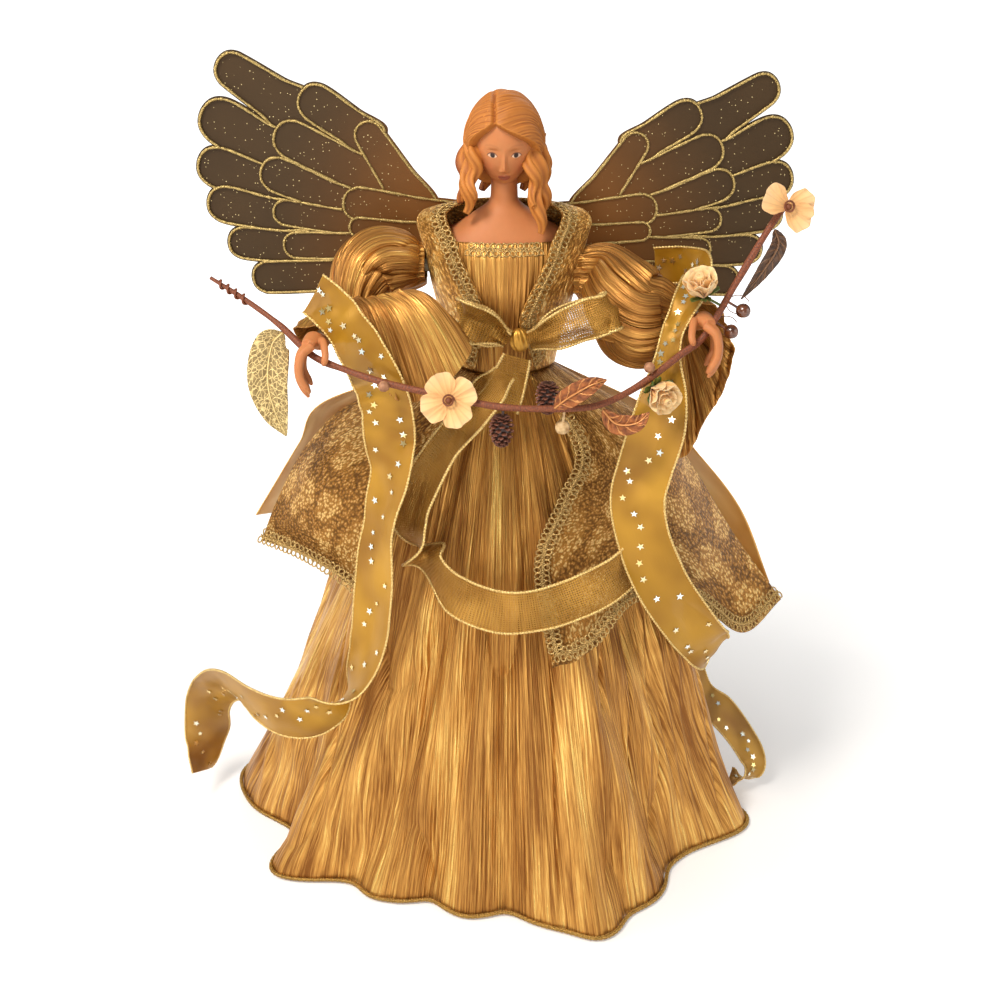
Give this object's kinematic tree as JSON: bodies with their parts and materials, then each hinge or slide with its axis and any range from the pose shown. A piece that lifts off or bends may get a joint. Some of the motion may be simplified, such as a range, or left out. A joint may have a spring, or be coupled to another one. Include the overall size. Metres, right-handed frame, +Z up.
{
  "type": "angel tree topper",
  "caption": "Standing angel figure with folded gown, gathered sleeves, hinged wings and a floral garland held across the front, open under its cone to sit on a tree tip.",
  "frame": {"origin": "centre of the card cone's open foot, on the plane that the hem and the cone stand on", "axes": "+Z up, the angel faces -Y, left and right as seen from the front"},
  "size_m": [0.3413, 0.2287, 0.4194],
  "materials": {
    "crinkled_lame": "crinkled gold lame",
    "brocade": "embossed antique gold brocade",
    "satin": "smooth pale gold satin",
    "gimp_braid": "looped metallic gimp braid",
    "hem_braid": "narrow metallic gimp braid",
    "organza_ribbon": "sheer organza with wired edges and sequins",
    "mesh_ribbon": "woven gold mesh with wired edges",
    "bisque": "painted bisque, matt",
    "padding": "padded form",
    "card": "rolled card",
    "wing_panel": "bronze satin with glitter",
    "wing_wire": "glittered wire",
    "staple_wire": "plain wire",
    "taped_stem": "floral tape over wire",
    "petal": "peach pressed cloth",
    "rose_petal": "cream pressed cloth with green sepals",
    "pinecone": "dry scales",
    "berry": "glossy lacquered berry",
    "foil_leaf": "champagne foil cloth with glitter veins",
    "bronze_leaf": "coppery cloth",
    "dark_leaf": "dark bronze cloth"
  },
  "bodies": {
    "figure": {"card_cone": "card", "torso_form": "padding", "bisque_head": "bisque", "bodice": "crinkled_lame", "brocade_vest": "brocade", "left_lapel_braid": "gimp_braid", "right_lapel_braid": "gimp_braid", "neckline_braid": "gimp_braid", "skirt": "crinkled_lame", "skirt_hem_braid": "hem_braid", "left_overskirt": "brocade", "right_overskirt": "brocade", "left_overskirt_braid": "gimp_braid", "right_overskirt_braid": "gimp_braid", "back_satin_panel": "satin", "garland_stem": "taped_stem", "left_arm_wire": "padding", "left_hand": "bisque", "left_puff_sleeve": "crinkled_lame", "left_bell_sleeve": "crinkled_lame", "right_arm_wire": "padding", "right_hand": "bisque", "right_puff_sleeve": "crinkled_lame", "right_bell_sleeve": "crinkled_lame", "left_star_ribbon": "organza_ribbon", "right_star_ribbon": "organza_ribbon", "bow_knot": "mesh_ribbon", "bow_left_loop": "mesh_ribbon", "bow_right_loop": "mesh_ribbon", "bow_short_tail": "mesh_ribbon", "bow_long_tail": "mesh_ribbon", "left_wing_staple": "staple_wire", "right_wing_staple": "staple_wire", "garland_tendril": "taped_stem", "centre_hydrangea": "petal", "end_hydrangea": "petal", "upper_rose": "rose_petal", "lower_rose": "rose_petal", "front_pinecone": "pinecone", "back_pinecone": "pinecone", "upper_berry": "berry", "lower_berry": "berry", "left_stem_bud": "berry", "right_stem_bud": "petal", "lower_bud": "petal", "gold_leaf": "foil_leaf", "dark_leaf": "dark_leaf", "upper_bronze_leaf": "bronze_leaf", "lower_bronze_leaf": "bronze_leaf"},
    "left_wing": {"left_wing_panel": "wing_panel", "left_wing_frame": "wing_wire"},
    "right_wing": {"right_wing_panel": "wing_panel", "right_wing_frame": "wing_wire"}
  },
  "joints": [
    {"name": "left_wing_bend", "type": "hinge", "parent": "figure", "child": "left_wing", "pos_m": [-0.013, 0.032, 0.3158], "axis": [0, 0, -1], "range_deg": [-10, 30]},
    {"name": "right_wing_bend", "type": "hinge", "parent": "figure", "child": "right_wing", "pos_m": [0.013, 0.032, 0.3158], "axis": [0, 0, 1], "range_deg": [-10, 30]}
  ]
}
